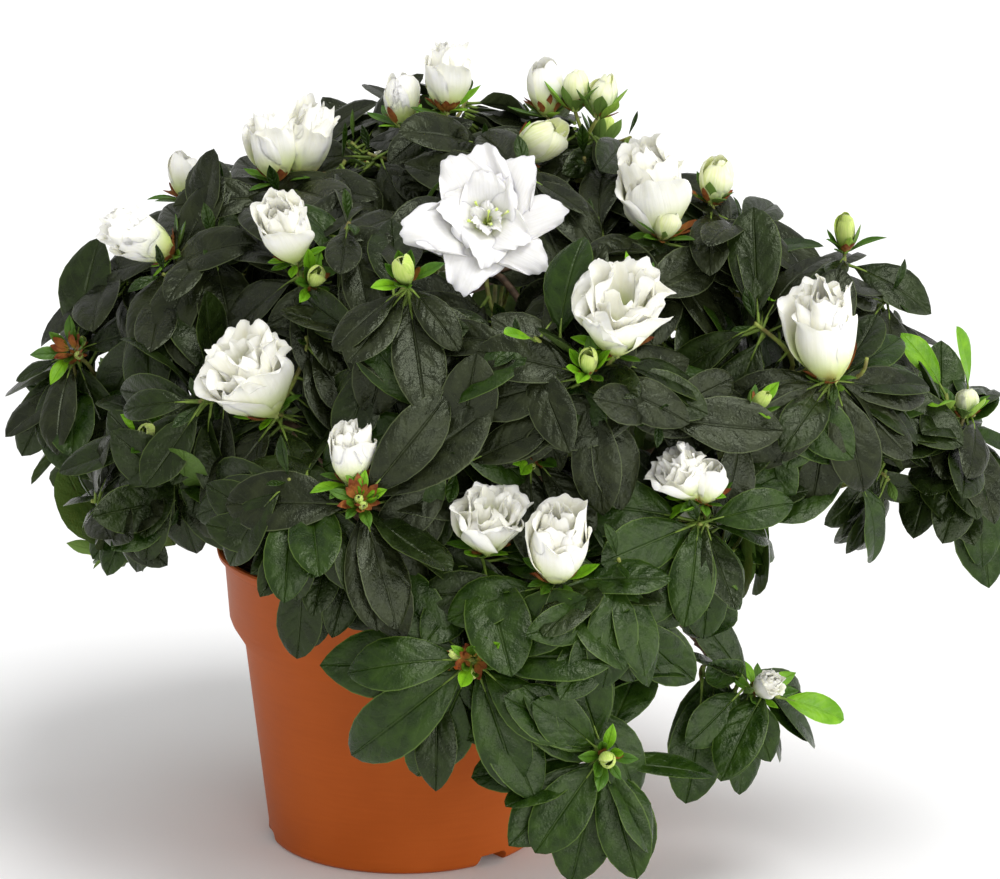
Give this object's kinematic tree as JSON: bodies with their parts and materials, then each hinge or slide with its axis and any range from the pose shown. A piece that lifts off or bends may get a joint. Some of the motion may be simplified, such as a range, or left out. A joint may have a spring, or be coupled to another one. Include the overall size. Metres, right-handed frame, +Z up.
{
  "type": "potted azalea shrub",
  "caption": "Low evergreen shrub with a wide dome of dark leafy rosettes, white double flowers and buds, in a tapered terracotta-coloured pot.",
  "frame": {"origin": "centre of the pot's flat underside", "axes": "+Z up the pot's axis; the plant's front faces -Y and its longer, trailing side is towards +X"},
  "size_m": [0.3416, 0.3185, 0.2807],
  "materials": {
    "terracotta_plastic": "matte",
    "compost": "rough",
    "bark": "rough",
    "foliage": "satin",
    "twig": "satin",
    "petal": "matte",
    "bud_scale": "satin"
  },
  "bodies": {
    "root": {"bough_back_shoulder_1": "bark", "bough_back_shoulder_3": "bark", "bough_back_skirt_1": "bark", "bough_back_skirt_3": "bark", "bough_back_skirt_4": "bark", "bough_back_waist_2": "bark", "bough_back_waist_4": "bark", "bough_front_left": "bark", "bough_front_low": "bark", "bough_left_low": "bark", "bough_left_skirt": "bark", "bough_left_upper": "bark", "bough_mid_upper": "bark", "bough_right_front": "bark", "bough_right_tip": "bark", "bough_trail_right": "bark", "foliage_back_crest_1": "foliage", "foliage_back_crest_2": "foliage", "foliage_back_shoulder_1": "foliage", "foliage_back_shoulder_2": "foliage", "foliage_back_shoulder_3": "foliage", "foliage_back_skirt_1": "foliage", "foliage_back_skirt_2": "foliage", "foliage_back_skirt_3": "foliage", "foliage_back_skirt_4": "foliage", "foliage_back_waist_1": "foliage", "foliage_back_waist_2": "foliage", "foliage_back_waist_3": "foliage", "foliage_back_waist_4": "foliage", "foliage_centre_bloom": "foliage", "foliage_crest_left": "foliage", "foliage_crest_right": "foliage", "foliage_front_left": "foliage", "foliage_front_low": "foliage", "foliage_front_right": "foliage", "foliage_left_back": "foliage", "foliage_left_bloom": "foliage", "foliage_left_inner": "foliage", "foliage_left_low": "foliage", "foliage_left_skirt": "foliage", "foliage_left_tip": "foliage", "foliage_left_top": "foliage", "foliage_left_upper": "foliage", "foliage_mid_low": "foliage", "foliage_mid_right": "foliage", "foliage_mid_upper": "foliage", "foliage_right_branch": "foliage", "foliage_right_far": "foliage", "foliage_right_front": "foliage", "foliage_right_low": "foliage", "foliage_right_shoulder": "foliage", "foliage_right_tip": "foliage", "foliage_trail": "foliage", "foliage_trail_right": "foliage", "pot": "terracotta_plastic", "root_ball": "compost", "stem": "bark"}
  },
  "joints": []
}
